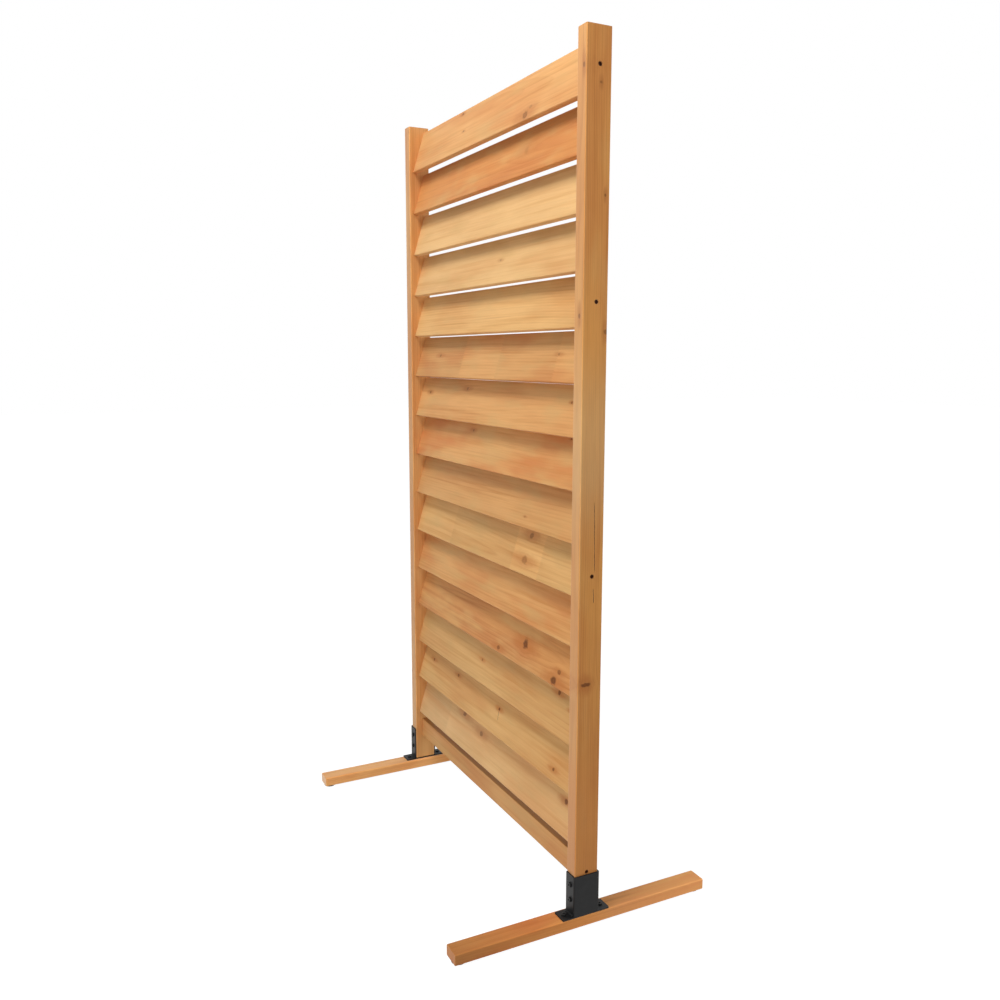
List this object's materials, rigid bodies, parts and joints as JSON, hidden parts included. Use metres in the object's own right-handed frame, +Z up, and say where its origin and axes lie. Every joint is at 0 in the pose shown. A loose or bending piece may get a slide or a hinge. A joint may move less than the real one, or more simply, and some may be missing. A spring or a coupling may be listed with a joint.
{
  "type": "garden privacy screen",
  "caption": "Free-standing timber garden privacy screen: fixed tilted louvres and a bottom rail between its posts, on black steel brackets and flat timber feet.",
  "frame": {"origin": "on the floor, midway between the two feet and midway along them", "axes": "+X along the screen towards the right post seen from the front, -Y out of the front, +Z up"},
  "size_m": [0.9266, 0.615, 1.805],
  "materials": {
    "louvre_timber": "honey-stained softwood with knots, satin",
    "post_timber": "honey-stained softwood, straight grain, satin",
    "foot_timber": "orange-brown stained softwood, satin",
    "black_steel": "black powder coat, satin, fine texture",
    "black_screws": "black coated steel, satin",
    "dark_screws": "dark brown phosphated steel",
    "glide_rubber": "black rubber, matte"
  },
  "bodies": {
    "root": {"louvre_01": "louvre_timber", "louvre_02": "louvre_timber", "louvre_03": "louvre_timber", "louvre_04": "louvre_timber", "louvre_05": "louvre_timber", "louvre_06": "louvre_timber", "louvre_07": "louvre_timber", "louvre_08": "louvre_timber", "louvre_09": "louvre_timber", "louvre_10": "louvre_timber", "louvre_11": "louvre_timber", "louvre_12": "louvre_timber", "louvre_13": "louvre_timber", "louvre_14": "louvre_timber", "louvre_15": "louvre_timber", "bottom_rail": "louvre_timber", "post_right": "post_timber", "foot_right": "foot_timber", "post_bracket_right": "black_steel", "post_screws_right": "dark_screws", "bracket_screws_right": "black_screws", "base_screws_right": "black_screws", "foot_glides_right": "glide_rubber", "glide_screws_right": "dark_screws", "post_left": "post_timber", "foot_left": "foot_timber", "post_bracket_left": "black_steel", "post_screws_left": "dark_screws", "bracket_screws_left": "black_screws", "base_screws_left": "black_screws", "foot_glides_left": "glide_rubber", "glide_screws_left": "dark_screws"}
  },
  "joints": []
}
